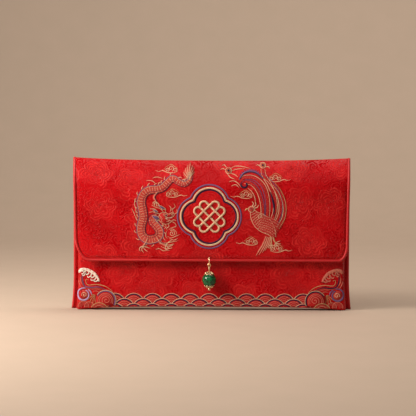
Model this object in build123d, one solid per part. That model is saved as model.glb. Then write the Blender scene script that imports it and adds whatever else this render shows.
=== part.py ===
from build123d import *
import os
from math import hypot, sqrt

# A cloth gift envelope: a flat pocket with a fold-over flap, piped edges, embroidery and a bead charm.
# Millimetres. X runs across the front, the front faces -Y and Z is up. The flap is closed.
# The origin is the middle of the flat base that the envelope stands on.

# Overall sizes
width = 190.0               # over the side pipings
fold_height = 95.2          # base to the line that the flap folds about
flap_drop = 62.2            # fold line to the lower edge of the flap
mouth_drop = 7.2            # fold line to the top of the front panel's sheets
mouth_hem_height = 1.0
pocket_depth = 6.0          # clear depth between the two linings
flap_gap = 3.0              # front panel to the closed flap

# Sheets of a wall
cloth = 0.6
board = 0.8
lining = 0.4
board_inset = 4.0           # cloth's edge to the card's edge
board_fold_gap = 15.0       # fold line to the card inside the flap
board_corner_r = 3.0        # lower corners of the card inside the flap

# Piping and seams
piping_d = 2.0
piping_clear = 0.05         # between a cord and the sheet beside it
piping_rise = 1.55          # cord above the fold line before it bends over
flap_corner_r = 11.0        # outside of the piping
seam_inset = 0.7            # from a sheet's edge to the middle of the stitch line
seam_width = 0.4
seam_height = 0.15

# Hidden closure
magnet_d = 12.0
magnet_clear = 0.1
magnet_rise = 13.0          # flap's lower edge to the magnets' middle

# Embroidery
thread = 0.2                # how far embroidery stands off its cloth
layout_x = -1.5             # middle of the medallion, the border and the charm
medallion_lift = 0.6        # middle of the flap to the middle of the medallion
lobe_offset = 8.1           # medallion's middle to the middle of each lobe
lobe_r = 14.1               # medallion's lobes, at the outside of its outer line
outline_width = 1.2
rim_inset = 1.9             # outside of the outer line to the outside of the inner line
rim_width = 1.6
knot_stroke = 1.5
knot_margin = 3.1           # notches of the medallion's inner line to the knot
border_pitch = 12.9
border_scale_r = 7.5
border_top = 11.3
border_bottom = 2.4
corner_margin = 1.45        # panel's side to the corner's embroidery
corner_reach = 17.8
corner_height = 27.0
corner_foot = 2.0
figure_height = 57.0        # the dragon, the phoenix and the clouds

# Charm
wire_d = 0.7
ring_clear = 0.25           # ring's inside to the piping
ring_rise = 0.5             # ring's middle above the piping's middle
slot_clear = 0.35           # round the wire where it passes through the flap
pin_d = 0.6
eye_clear = 0.3             # round the ring's wire inside the pin's eye
bead_d = 9.6
bead_hole_d = 0.9
bead_wall_clear = 0.3       # bead to the front panel
bead_drop = 10.2            # eye's middle to bead's middle
cap_d = 6.8
cap_thick = 0.5
cap_clear = 0.05            # cap to the bead
ball_d = 1.9
ball_clear = 0.1            # pin's ball to the lower cap

# Places worked out from the sizes above
piping_r = piping_d / 2
wall = cloth + board + lining
mouth_height = fold_height - mouth_drop
panel_half = width / 2 - piping_d - piping_clear
inner_half = panel_half - cloth
face_y = pocket_depth / 2 + wall
flap_in_y = -face_y - flap_gap
flap_out_y = flap_in_y - wall
flap_mid_y = (flap_in_y + flap_out_y) / 2
fold_y = (face_y + flap_out_y) / 2
fold_r = (face_y - flap_out_y) / 2
flap_edge = fold_height - flap_drop
flap_piping_z = flap_edge + piping_r
panel_edge = flap_edge + piping_d + piping_clear
panel_corner_r = flap_corner_r - piping_d - piping_clear
magnet_z = flap_edge + magnet_rise
medallion_z = (flap_edge + fold_height) / 2 + medallion_lift
figure_step = figure_height / 57    # one step in those drawings
medallion_half = lobe_offset + lobe_r
corner_edge = panel_half - corner_margin
corner_inner = corner_edge - corner_reach
border_steps = int((corner_inner - abs(layout_x) - border_scale_r) / border_pitch)
cord_half = width / 2 - piping_r
side_cord_y = face_y - piping_r
cord_top = fold_height + piping_rise

ring_y = -face_y - bead_wall_clear - bead_d / 2
ring_z = flap_piping_z + ring_rise
ring_inner_r = hypot(flap_mid_y - ring_y, ring_rise) + piping_r + ring_clear
ring_r = ring_inner_r + wire_d / 2
eye_z = ring_z - ring_r
eye_r = wire_d / 2 + eye_clear + pin_d / 2
bead_z = eye_z - bead_drop
cap_out_r = bead_d / 2 + cap_clear + cap_thick
slot_width = wire_d + 2 * slot_clear
slot_top = ring_z + ring_inner_r + wire_d + slot_clear


upright = (Align.CENTER, Align.CENTER, Align.MIN)


def slab(low, high):
    """A box between two opposite corners."""
    middle = [(a + b) / 2 for a, b in zip(low, high)]
    size = [abs(b - a) for a, b in zip(low, high)]
    return Pos(*middle) * Box(*size)


def raise_from(sketch, y, depth):
    """Extrude a front-view drawing forward from the plane at y."""
    front = Plane(origin=(0, y, 0), x_dir=(1, 0, 0), z_dir=(0, -1, 0))
    return extrude(front * sketch, amount=depth)


def stroke(width_of_stroke, *points):
    """A band along arcs through the points: a start, then a middle and an end for each arc."""
    band = Sketch()
    for start, middle, end in zip(points[0::2], points[1::2], points[2::2]):
        band += trace(ThreePointArc(start, middle, end), width_of_stroke)
    for joint in points[0::2]:
        band += Pos(*joint) * Circle(width_of_stroke / 2)
    return band


def bar(width_of_stroke, start, end):
    """A straight band with round ends."""
    return (
        trace(Line(start, end), width_of_stroke)
        + Pos(*start) * Circle(width_of_stroke / 2)
        + Pos(*end) * Circle(width_of_stroke / 2)
    )


# Pocket

def pocket_panels():
    """Three sheets on each side of the pocket, from the outside in."""
    lining_y = pocket_depth / 2
    board_y = lining_y + lining
    cloth_y = board_y + board
    sides = {"back": (1, fold_height), "front": (-1, mouth_height)}
    panels = {}
    for side, (way, top) in sides.items():
        panels[f"{side}_cloth"] = slab((-panel_half, way * cloth_y, 0), (panel_half, way * face_y, top))
        card_half = panel_half - board_inset
        panels[f"{side}_board"] = slab(
            (-card_half, way * board_y, board_inset), (card_half, way * cloth_y, top - board_inset)
        )
        panels[f"{side}_lining"] = slab(
            (-inner_half, way * lining_y, cloth), (inner_half, way * board_y, top)
        )
    panels["front_board"] -= magnet(-cloth_y, magnet_d + 2 * magnet_clear)
    panels["front_magnet"] = magnet(-cloth_y, magnet_d)
    return panels


def pocket_bands():
    """The cloth walls at the sides and under the pocket, and the bound edge of the mouth."""
    inside_y = face_y - cloth
    hem_top = mouth_height + mouth_hem_height
    return {
        "left_side_band": slab((-panel_half, -inside_y, 0), (-inner_half, inside_y, mouth_height)),
        "right_side_band": slab((inner_half, -inside_y, 0), (panel_half, inside_y, mouth_height)),
        "base_band": slab((-inner_half, -inside_y, 0), (inner_half, inside_y, cloth)),
        "mouth_hem": slab((-inner_half, -face_y, mouth_height), (inner_half, -pocket_depth / 2, hem_top)),
    }


def magnet(front_y, diameter):
    """A disc as thick as the card, with its front face at front_y."""
    disc = Pos(layout_x, magnet_z) * Circle(diameter / 2)
    return raise_from(disc, front_y + board, board)


def side_cords():
    """The pipings along the back's side edges, and the stitch lines at the front's side edges."""
    seam_x = panel_half - seam_inset
    pieces = {}
    for side, way in (("left", -1), ("right", 1)):
        cord = Pos(way * cord_half, side_cord_y, 0) * Cylinder(piping_r, cord_top, align=upright)
        line = trace(Line((way * seam_x, 0), (way * seam_x, mouth_height)), seam_width)
        pieces[f"{side}_piping"] = cord
        pieces[f"{side}_seam_thread"] = raise_from(line, -face_y, seam_height)
    return pieces


# Embroidery on the front panel

def wave_border():
    """A band of overlapping scales with round tops."""
    scales = Sketch()
    for step in range(-border_steps, border_steps + 1):
        middle = (layout_x + step * border_pitch, border_top - border_scale_r)
        scales += Pos(*middle) * Circle(border_scale_r)
    half_length = border_steps * border_pitch + border_scale_r
    below = Pos(layout_x, border_bottom) * Rectangle(
        2 * half_length, 2 * border_scale_r, align=(Align.CENTER, Align.MAX)
    )
    return raise_from(scales - below, -face_y, thread)


def corner_wave(way):
    """A curling wave that rises along the side and runs down towards the border."""
    crest = (way * (corner_edge - 0.62 * corner_reach), 0.72 * corner_height)
    trough = (way * (corner_edge - 0.72 * corner_reach), 0.45 * corner_height)
    outline = [
        Line((way * corner_edge, corner_foot), (way * corner_edge, 0.85 * corner_height)),
        ThreePointArc(
            (way * corner_edge, 0.85 * corner_height),
            (way * (corner_edge - 0.30 * corner_reach), corner_height),
            crest,
        ),
        ThreePointArc(crest, (way * (corner_edge - 0.55 * corner_reach), 0.58 * corner_height), trough),
        ThreePointArc(
            trough,
            (way * (corner_edge - 0.93 * corner_reach), 0.28 * corner_height),
            (way * corner_inner, corner_foot),
        ),
        Line((way * corner_inner, corner_foot), (way * corner_edge, corner_foot)),
    ]
    return raise_from(make_face(outline), -face_y, thread)


# Fold

def fold_sheet(outer_r, thick):
    """A sheet bent over the top in a half circle about the fold line."""
    ring = Circle(outer_r) - Circle(outer_r - thick)
    upper_half = ring & Rectangle(2 * outer_r, outer_r, align=(Align.CENTER, Align.MIN))
    across = Plane(origin=(-panel_half, fold_y, fold_height), x_dir=(0, 1, 0), z_dir=(1, 0, 0))
    return extrude(across * upper_half, amount=2 * panel_half)


def fold_cord(way):
    """The piping where it bends from the back's edge over to the flap."""
    start = Pos(way * cord_half, side_cord_y, cord_top) * Circle(piping_r)
    bend = Axis((0, (side_cord_y + flap_mid_y) / 2, cord_top), (1, 0, 0))
    return revolve(start, bend, 180)


# Flap

def flap_outline(inset, corner_r):
    """The flap in front view, drawn in by inset and round at its two lower corners."""
    half = panel_half - inset
    low = panel_edge + inset
    sheet = Pos(0, low) * Rectangle(2 * half, fold_height - low, align=(Align.CENTER, Align.MIN))
    return fillet(sheet.vertices().group_by(Axis.Y)[0], corner_r)


def ring_slot():
    """The gap in the flap's edge that the charm's ring goes through."""
    return Pos(layout_x, panel_edge) * Rectangle(
        slot_width, 2 * (slot_top - panel_edge), align=(Align.CENTER, Align.CENTER)
    )


def flap_panels():
    """The flap's three sheets, its magnet and the stitch line inside its piping."""
    sheet = flap_outline(0, panel_corner_r) - ring_slot()
    seam_out = seam_inset - seam_width / 2
    seam_in = seam_inset + seam_width / 2
    line = flap_outline(seam_out, panel_corner_r - seam_out) - flap_outline(seam_in, panel_corner_r - seam_in)
    board_front = flap_out_y + cloth
    above_card = Pos(0, fold_height) * Rectangle(width, 2 * board_fold_gap)
    card = flap_outline(board_inset, board_corner_r) - above_card
    return {
        "flap_cloth": raise_from(sheet, board_front, cloth),
        "flap_board": raise_from(card, board_front + board, board)
        - magnet(board_front, magnet_d + 2 * magnet_clear),
        "flap_lining": raise_from(sheet, flap_in_y, lining),
        "flap_magnet": magnet(board_front, magnet_d),
        "flap_seam_thread": raise_from(line - ring_slot(), flap_out_y, seam_height),
    }


def flap_piping():
    """One cord down the left side, along the lower edge and up the right side."""
    corners = [
        (-cord_half, flap_mid_y, cord_top),
        (-cord_half, flap_mid_y, flap_piping_z),
        (cord_half, flap_mid_y, flap_piping_z),
        (cord_half, flap_mid_y, cord_top),
    ]
    path = FilletPolyline(*corners, radius=flap_corner_r - piping_r)
    section = Plane(origin=corners[0], z_dir=(0, 0, -1)) * Circle(piping_r)
    return sweep(section, path=path)


# Embroidery on the flap

def notch(inset):
    """The x and the z, from the medallion's middle, of the notch between two lobes drawn in by inset."""
    return (lobe_offset + sqrt(2 * (lobe_r - inset) ** 2 - lobe_offset ** 2)) / 2


def quatrefoil(inset):
    """Four round lobes about the medallion's middle, drawn in by inset all round."""
    corner = notch(inset)
    tip = lobe_offset + lobe_r - inset
    lobe = ThreePointArc((corner, -corner), (tip, 0), (corner, corner))
    edges = [Rot(0, 0, 90 * quarter) * lobe for quarter in range(4)]
    return Pos(layout_x, medallion_z) * make_face(edges)


def quatrefoil_line(inset, line_width):
    """A line of even width along the medallion's edge."""
    return raise_from(quatrefoil(inset) - quatrefoil(inset + line_width), flap_out_y, thread)


def medallion_knot():
    """An endless knot: slanting strands in both directions, joined by loops round the outside."""
    strands = Sketch()
    knot_reach = sqrt(2) * notch(rim_inset + rim_width) - knot_margin
    knot_pitch = (knot_reach - knot_stroke / 2) / 2
    reach = 1.5 * knot_pitch
    for step in (-1, 0, 1):
        strands += bar(knot_stroke, (-reach, step * knot_pitch), (reach, step * knot_pitch))
        strands += bar(knot_stroke, (step * knot_pitch, -reach), (step * knot_pitch, reach))
    loop = Circle(knot_pitch / 2 + knot_stroke / 2) - Circle(knot_pitch / 2 - knot_stroke / 2)
    outside = Rectangle(2 * knot_pitch, 2 * knot_pitch, align=(Align.MIN, Align.CENTER))
    half_loop = loop & outside
    for quarter in range(4):
        for side in (-0.5, 0.5):
            strands += Rot(0, 0, 90 * quarter) * Pos(reach, side * knot_pitch) * half_loop
    turned = Pos(layout_x, medallion_z) * Rot(0, 0, 45) * strands
    return raise_from(turned, flap_out_y, thread)


def beside_medallion(drawing, way):
    """Place a drawing whose zero point is the medallion's left (-1) or right (1) tip."""
    tip = Pos(layout_x + way * medallion_half, medallion_z)
    return tip * scale(drawing, by=figure_step)


def dragon():
    """A coiled body with a head, horns, legs and a flame tail."""
    body = stroke(
        5.0,
        (5.7, 21.3), (-2.3, 25.8), (-10.3, 19.8),
        (-14.3, 17.5), (-18.3, 17.8),
        (-23.8, 12.8), (-23.3, 4.3),
        (-21.8, -2.7), (-24.3, -8.7),
        (-24.8, -13.7), (-20.8, -16.2),
        (-16.3, -14.2), (-15.8, -8.7),
        (-13.8, -3.7), (-8.8, -2.2),
    )
    head = Pos(-7.3, -1.7) * Ellipse(4.4, 3.2)
    horns = stroke(1.4, (-9.3, 0.3), (-12.8, 2.8), (-13.8, 6.3))
    horns += stroke(1.4, (-6.3, 0.3), (-8.3, 4.3), (-7.3, 8.3))
    tail = stroke(2.0, (5.7, 21.3), (9.2, 24.3), (9.7, 28.3))
    legs = (
        stroke(1.8, (-23.3, 7.3), (-27.3, 7.8), (-29.8, 4.8))
        + stroke(1.8, (-18.3, -15.7), (-13.3, -18.2), (-9.8, -21.2))
        + stroke(1.8, (-14.3, 17.3), (-11.3, 13.8), (-13.8, 10.8))
    )
    drawing = body + head + horns + tail + legs
    return raise_from(beside_medallion(drawing, -1), flap_out_y, thread)


def phoenix():
    """A bird with a spread wing, legs and long plumes that sweep up and round."""
    body = Pos(15.3, -3.7) * Rot(0, 0, 25) * Ellipse(5.0, 7.5)
    neck = stroke(3.6, (13.3, 0.3), (10.8, 5.3), (6.3, 4.8)) + Pos(5.3, 4.1) * Circle(2.6)
    wing = stroke(4.0, (13.3, -6.7), (8.3, -7.7), (6.8, -13.2))
    wing += stroke(3.0, (15.3, -8.7), (12.3, -12.7), (11.8, -17.7))
    legs = stroke(1.6, (16.3, -9.7), (16.3, -15.7), (12.3, -21.7))
    legs += stroke(1.6, (18.3, -7.7), (20.8, -13.7), (18.8, -19.7))
    plumes = (
        stroke(3.4, (15.3, 1.3), (12.3, 15.3), (1.8, 21.8))
        + stroke(3.4, (17.3, 1.3), (19.3, 15.3), (12.3, 26.8))
        + stroke(3.0, (18.3, -0.7), (28.3, 7.3), (24.8, 19.3))
        + stroke(2.4, (19.3, -4.7), (25.3, -2.7), (28.8, 3.3))
    )
    drawing = body + neck + wing + legs + plumes
    return raise_from(beside_medallion(drawing, 1), flap_out_y, thread)


def cloud(x, z, way):
    """A curled cloud whose tail trails to one side."""
    puffs = Pos(x, z) * Circle(2.0) + Pos(x - way * 2.4, z - 0.6) * Circle(1.5)
    return puffs + stroke(1.3, (x, z - 1.2), (x + way * 5, z - 1.6), (x + way * 9.5, z - 0.4))


def clouds():
    """Separate clouds round the dragon and the phoenix."""
    by_dragon = cloud(-3.3, 14.9, 1) + cloud(-19.3, 26.3, -1)
    by_phoenix = cloud(1.3, 14.2, -1) + cloud(24.3, 26.1, 1) + cloud(4.3, -25.2, -1) + cloud(26.3, -19.2, 1)
    drawing = beside_medallion(by_dragon, -1) + beside_medallion(by_phoenix, 1)
    return raise_from(drawing, flap_out_y, thread)


# Charm

def charm_ring():
    """A wire ring round the flap's piping."""
    return Pos(layout_x, ring_y, ring_z) * Rot(0, 90, 0) * Torus(ring_r, wire_d / 2)


def head_pin():
    """A wire pin with an eye round the ring at the top and a ball below the bead."""
    eye = Pos(layout_x, ring_y, eye_z) * Rot(90, 0, 0) * Torus(eye_r, pin_d / 2)
    ball_z = bead_z - cap_out_r - ball_clear - ball_d / 2
    stem_top = eye_z - eye_r
    stem = Pos(layout_x, ring_y, ball_z) * Cylinder(pin_d / 2, stem_top - ball_z, align=upright)
    ball = Pos(layout_x, ring_y, ball_z) * Sphere(ball_d / 2)
    return eye + stem + ball


def bead_hole():
    """The drilled way through the bead and its caps."""
    return Cylinder(bead_hole_d / 2, 4 * cap_out_r)


def jade_bead():
    """A drilled round bead."""
    return Pos(layout_x, ring_y, bead_z) * (Sphere(bead_d / 2) - bead_hole())


def bead_cap(way):
    """A domed cap on one end of the bead."""
    shell = Sphere(cap_out_r) - Sphere(cap_out_r - cap_thick)
    end = Pos(0, 0, way * cap_out_r) * Cylinder(cap_d / 2, 2 * cap_out_r)
    return Pos(layout_x, ring_y, bead_z) * ((shell & end) - bead_hole())


def main():
    nodes = {
        **pocket_panels(),
        **pocket_bands(),
        **side_cords(),
        "wave_border": wave_border(),
        "left_corner_wave": corner_wave(-1),
        "right_corner_wave": corner_wave(1),
        "fold_cloth": fold_sheet(fold_r, cloth),
        "fold_lining": fold_sheet(fold_r - cloth - board, lining),
        "left_fold_piping": fold_cord(-1),
        "right_fold_piping": fold_cord(1),
        **flap_panels(),
        "flap_piping": flap_piping(),
        "medallion_outline": quatrefoil_line(0, outline_width),
        "medallion_rim": quatrefoil_line(rim_inset, rim_width),
        "medallion_knot": medallion_knot(),
        "dragon_embroidery": dragon(),
        "phoenix_embroidery": phoenix(),
        "cloud_embroidery": clouds(),
        "charm_ring": charm_ring(),
        "head_pin": head_pin(),
        "jade_bead": jade_bead(),
        "top_cap": bead_cap(1),
        "bottom_cap": bead_cap(-1),
    }
    os.makedirs("parts", exist_ok=True)
    for name, shape in nodes.items():
        export_step(shape, f"parts/{name}.step")
    print(f"flap hinge on the crest of the fold: y {fold_y:.3f} z {fold_height + fold_r:.3f}")
    print(f"ring middle x {layout_x:.3f} y {ring_y:.3f} z {ring_z:.3f}, radius {ring_r:.3f}")
    print(f"eye middle z {eye_z:.3f}, bead middle z {bead_z:.3f}")


main()
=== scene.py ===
import math

import bpy
import numpy as np
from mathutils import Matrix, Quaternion, Vector


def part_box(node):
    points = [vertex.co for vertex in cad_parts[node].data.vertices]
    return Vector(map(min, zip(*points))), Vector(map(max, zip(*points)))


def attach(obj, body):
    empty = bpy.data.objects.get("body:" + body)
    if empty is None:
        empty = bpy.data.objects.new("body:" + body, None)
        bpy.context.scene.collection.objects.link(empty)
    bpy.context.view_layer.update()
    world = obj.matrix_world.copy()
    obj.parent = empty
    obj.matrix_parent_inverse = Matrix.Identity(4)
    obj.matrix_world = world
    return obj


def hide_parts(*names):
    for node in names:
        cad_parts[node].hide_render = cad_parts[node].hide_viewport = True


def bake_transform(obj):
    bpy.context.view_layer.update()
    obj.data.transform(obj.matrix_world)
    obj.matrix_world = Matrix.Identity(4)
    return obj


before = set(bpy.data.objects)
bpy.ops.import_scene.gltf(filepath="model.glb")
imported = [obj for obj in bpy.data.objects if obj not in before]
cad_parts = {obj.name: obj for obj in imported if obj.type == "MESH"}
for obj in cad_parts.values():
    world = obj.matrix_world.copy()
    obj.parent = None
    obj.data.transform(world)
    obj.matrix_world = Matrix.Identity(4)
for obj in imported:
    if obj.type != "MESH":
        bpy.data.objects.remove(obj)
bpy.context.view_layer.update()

# A red brocade gift envelope with piped edges, embroidery and a bead charm.
# Metres, in the frame's own axes: X across the front, the front faces -Y, Z up, the base at zero.

mm = 0.001

# Sizes read from the frame
flap_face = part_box("flap_cloth")[0].y
front_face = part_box("front_cloth")[0].y
back_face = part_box("back_cloth")[1].y
panel_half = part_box("flap_cloth")[1].x
crest_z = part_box("fold_cloth")[1].z
mouth_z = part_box("front_cloth")[1].z
hem_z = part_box("mouth_hem")[1].z
cord_r = (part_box("right_piping")[1].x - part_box("right_piping")[0].x) / 2
bead_low, bead_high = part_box("jade_bead")
bead_middle = (bead_low + bead_high) / 2
layout_x = bead_middle.x

# The soft shape, which the frame draws straight
nose_r = 3.5 * mm           # tight bend at the top of the back
lean_r = 28 * mm            # long bend in which the flap leans back to it
corner_rise = 1.9 * mm      # top corners above the middle of the top
foot_arch = 2.2 * mm        # middle of the lower edge above its corners
foot_flare = 1.5 * mm       # how far the sides spread at the lower corners
flare_height = 24 * mm
flap_taper = 1.6 * mm       # how much narrower each side of the flap is at its lower edge
flap_corners = {-1: (9 * mm, 16 * mm), 1: (5 * mm, 9 * mm)}   # width and height of the left and right ones
flap_short = 0.8 * mm       # how much shorter the flap is than in the frame
pocket_in = 1.2 * mm        # sides of the pocket inside the edges of the back
front_round = 3 * mm        # width of the rounded sides of the pocket's front
flap_crown = 0.5 * mm
panel_wave = 0.12 * mm      # height of the soft waves in a padded panel
seam_dip = 0.7 * mm         # how far a panel dips to the seam at its edge
seam_run = 3 * mm
cloth = 0.5 * mm
lining = 0.3 * mm
lining_in = 1.4 * mm        # outside of the cover to the outside of the lining
cover_reach = 1.003         # widths of the cover and its lining compared with the panels'
lining_reach = 0.985

panel_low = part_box("flap_cloth")[0].z + flap_short
seam_y = back_face - lining_in
nose_y = back_face - nose_r
nose_z = crest_z - nose_r
lean_y = flap_face + lean_r
lean_z = nose_z - math.sqrt((lean_r - nose_r) ** 2 - (lean_y - nose_y) ** 2)
lean_end = math.atan2(nose_z - lean_z, lean_y - nose_y)


# Shape of the envelope

def corner_lift(x):
    """How far the top stands above its middle."""
    return corner_rise * np.abs(x / panel_half) ** 3


def foot(x):
    """Height of the lower edge."""
    return foot_arch * (1 - np.minimum(np.abs(x / panel_half), 1) ** 4)


def side(z):
    """Half width of the back and the pocket at height z."""
    return panel_half + foot_flare * np.clip(1 - z / flare_height, 0, 1) ** 2


def flap_side(z, way):
    """Half width of the flap at height z on the left (-1) or the right (1), with the round lower corner."""
    wide, tall = flap_corners[way]
    down = np.clip((crest_z - z) / (crest_z - panel_low), 0, 1)
    short = np.clip(1 - (z - panel_low) / tall, 0, 1)
    return side(z) - flap_taper * np.sqrt(down) - wide * (1 - np.sqrt(1 - short ** 2))


def flap_half(x, z):
    """Half width of the flap at height z on the side that x is on."""
    return np.where(x < 0, flap_side(z, -1), flap_side(z, 1))


def flap_stretch(x):
    """Height above the flap's edge compared with the same line at the middle."""
    return 1 + corner_lift(x) / (crest_z - panel_low)


def relief(x, edge):
    """Soft waves of a padded panel and its dip to the seam; edge is the distance from the seam."""
    waves = panel_wave * np.sin(95 * x + 1.3 * np.sin(70 * edge)) * np.sin(83 * edge + 0.7)
    dip = seam_dip * np.clip(1 - edge / seam_run, 0, 1) ** 2
    return waves * np.clip(edge / seam_run, 0, 1) + dip


def flap_relief(x, z):
    """How far the flap's face lies behind its profile."""
    edge = np.clip(np.minimum(flap_half(x, z) - np.abs(x), z - panel_low), 0, None)
    fade = np.clip((crest_z - z) / (crest_z - lean_z), 0, 1)
    return (relief(x, edge) - flap_crown * (1 - (x / panel_half) ** 2)) * fade


def flap_surface(x, z):
    """The y of the flap's face."""
    level = panel_low + (z - panel_low) / flap_stretch(x)
    lean = lean_y - np.sqrt(lean_r ** 2 - np.clip(level - lean_z, 0, lean_r * math.sin(lean_end)) ** 2)
    nose = nose_y - np.sqrt(nose_r ** 2 - np.clip(level - nose_z, 0, nose_r) ** 2)
    on_nose = level > lean_z + lean_r * math.sin(lean_end)
    return np.where(on_nose, nose, lean) + flap_relief(x, z)


def front_surface(x, z):
    """The y of the pocket's front, which rounds back to the side seams."""
    edge = panel_half - pocket_in - np.abs(x) * panel_half / side(z)
    share = np.clip(1 - edge / front_round, 0, 1)
    return front_face + (seam_y - front_face) * (1 - np.sqrt(1 - share ** 2))


def profile(inset, foot_z, edge_z):
    """Points (y, z) at the middle of the width, from the back's foot over the top to the flap's edge."""
    tall = flap_corners[-1][1]
    points = [(back_face - inset, z) for z in np.linspace(foot_z, nose_z, 40)[:-1]]
    for turn in np.linspace(0, math.pi - lean_end, 14)[:-1]:
        r = nose_r - inset
        points.append((nose_y + r * math.cos(turn), nose_z + r * math.sin(turn)))
    for turn in np.linspace(lean_end, 0, 16)[:-1]:
        r = lean_r - inset
        points.append((lean_y - r * math.cos(turn), lean_z + r * math.sin(turn)))
    for z in np.linspace(lean_z, edge_z + tall, 16)[:-1]:
        points.append((flap_face + inset, z))
    for turn in np.linspace(0, math.pi / 2, 16):
        points.append((flap_face + inset, edge_z + tall * (1 - math.sin(turn))))
    return points


# Meshes

def directions(path):
    """Unit vectors along a path."""
    steps = np.gradient(np.asarray(path, dtype=float), axis=0)
    return steps / np.linalg.norm(steps, axis=1)[:, None]


def lengths_along(path):
    """Distance of each point of a path from its start."""
    return np.concatenate([[0], np.cumsum(np.linalg.norm(np.diff(path, axis=0), axis=1))])


def mesh_object(name, points, faces, finish, uvs):
    """A smooth mesh with its own flat coordinates, in metres along the cloth."""
    mesh = bpy.data.meshes.new(name)
    mesh.from_pydata([tuple(p) for p in points], [], faces)
    layer = mesh.uv_layers.new(name="cloth")
    corners = np.empty(len(mesh.loops), dtype=int)
    mesh.loops.foreach_get("vertex_index", corners)
    layer.data.foreach_set("uv", np.asarray(uvs, dtype=np.float32)[corners].ravel())
    mesh.polygons.foreach_set("use_smooth", [True] * len(mesh.polygons))
    mesh.materials.append(finish)
    obj = bpy.data.objects.new(name, mesh)
    bpy.context.collection.objects.link(obj)
    return obj


def grid_faces(rows, columns):
    """Quads of a grid stored row by row."""
    faces = []
    for row in range(rows - 1):
        for column in range(columns - 1):
            corner = row * columns + column
            faces.append((corner, corner + columns, corner + columns + 1, corner + 1))
    return faces


def grid_object(name, points, finish, thickness):
    """A sheet from an array of rows of points, thickened to the inside."""
    rows, columns, _ = points.shape
    across = np.linalg.norm(np.diff(points, axis=1), axis=2)
    along = np.linalg.norm(np.diff(points, axis=0), axis=2)
    u = np.concatenate([np.zeros((rows, 1)), np.cumsum(across, axis=1)], axis=1)
    u -= u[:, -1:] / 2
    v = np.concatenate([np.zeros((1, columns)), np.cumsum(along, axis=0)], axis=0)
    uvs = np.stack([u, np.repeat(v[:, columns // 2:columns // 2 + 1], columns, axis=1)], axis=2)
    obj = mesh_object(name, points.reshape(-1, 3), grid_faces(rows, columns), finish, uvs.reshape(-1, 2))
    solid = obj.modifiers.new("thickness", "SOLIDIFY")
    solid.thickness = thickness
    solid.offset = -1
    return obj


def tube_rings(path, radius, sides):
    """Rings of points round a path, without twist."""
    ways = directions(path)
    across = np.cross(ways[0], (0.3, 0.2, 0.9))
    angles = np.linspace(0, 2 * math.pi, sides, endpoint=False)
    rings = []
    for point, way in zip(path, ways):
        across = across - way * np.dot(across, way)
        across /= np.linalg.norm(across)
        third = np.cross(way, across)
        rings.append([point + radius * (math.cos(a) * across + math.sin(a) * third) for a in angles])
    return np.array(rings)


def tubes_object(name, paths, radius, sides, finish):
    """Round cords or wires along paths, each closed at both ends."""
    points, faces, uvs = [], [], []
    turns = np.arange(sides) / sides * 2 * math.pi * radius
    for path in paths:
        first = len(points)
        points.extend(tube_rings(path, radius, sides).reshape(-1, 3))
        uvs.extend((along, around) for along in lengths_along(path) for around in turns)
        for ring in range(len(path) - 1):
            for step in range(sides):
                a = first + ring * sides + step
                b = first + ring * sides + (step + 1) % sides
                faces.append((a, b, b + sides, a + sides))
        faces.append(tuple(range(first + sides - 1, first - 1, -1)))
        faces.append(tuple(range(len(points) - sides, len(points))))
    return mesh_object(name, points, faces, finish, uvs)


# Finishes

class Finish:
    """A material under construction: node() adds a node and sets or links its inputs."""

    def __init__(self, name):
        self.material = bpy.data.materials.new(name)
        self.material.use_nodes = True
        self.tree = self.material.node_tree
        self.tree.nodes.clear()
        self.surface = self.node("ShaderNodeBsdfPrincipled")
        output = self.node("ShaderNodeOutputMaterial")
        self.tree.links.new(self.surface.outputs[0], output.inputs["Surface"])

    def node(self, kind, inputs=None, **settings):
        node = self.tree.nodes.new(kind)
        for name, value in settings.items():
            setattr(node, name, value)
        self.fill(node, inputs or {})
        return node

    def fill(self, node, inputs):
        for socket, value in inputs.items():
            if isinstance(value, bpy.types.NodeSocket):
                self.tree.links.new(value, node.inputs[socket])
            else:
                node.inputs[socket].default_value = value

    def math(self, operation, first, second=0.0):
        return self.node("ShaderNodeMath", {0: first, 1: second}, operation=operation).outputs[0]

    def times(self, first, second):
        return self.math("MULTIPLY", first, second)

    def plus(self, first, second):
        return self.math("ADD", first, second)

    def vector(self, operation, first, second):
        return self.node("ShaderNodeVectorMath", {0: first, 1: second}, operation=operation).outputs[0]

    def cloth_mm(self):
        """The piece's flat coordinates, in millimetres."""
        flat = self.node("ShaderNodeUVMap", uv_map="cloth").outputs[0]
        return self.vector("MULTIPLY", flat, (1000, 1000, 1000))

    def own_place(self):
        """The piece's coordinates in space, in metres."""
        return self.node("ShaderNodeTexCoord").outputs["Object"]

    def ramp(self, value, low, high, low_out=0.0, high_out=1.0):
        """A smooth step from low_out to high_out while value goes from low to high."""
        inputs = {"Value": value, "From Min": low, "From Max": high, "To Min": low_out, "To Max": high_out}
        return self.node("ShaderNodeMapRange", inputs, interpolation_type="SMOOTHSTEP").outputs[0]

    def mix(self, share, first, second):
        """Colour between first and second."""
        mixer = self.node("ShaderNodeMix", data_type="RGBA")
        self.fill(mixer, {0: share, 6: first, 7: second})
        return mixer.outputs[2]

    def noise(self, place, scale, detail=3.0, output="Fac"):
        inputs = {"Vector": place, "Scale": scale, "Detail": detail}
        return self.node("ShaderNodeTexNoise", inputs).outputs[output]

    def wave(self, place, scale, direction, distortion=0.0):
        inputs = {"Vector": place, "Scale": scale, "Distortion": distortion}
        return self.node("ShaderNodeTexWave", inputs, bands_direction=direction).outputs["Fac"]

    def bump(self, height, distance, strength=1.0, below=None):
        inputs = {"Height": height, "Distance": distance, "Strength": strength}
        node = self.node("ShaderNodeBump", inputs)
        if below is not None:
            self.fill(node, {"Normal": below})
        return node.outputs[0]

    def surfaced(self, inputs):
        """Set the surface's inputs; gives the finished material."""
        self.fill(self.surface, inputs)
        return self.material


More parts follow.
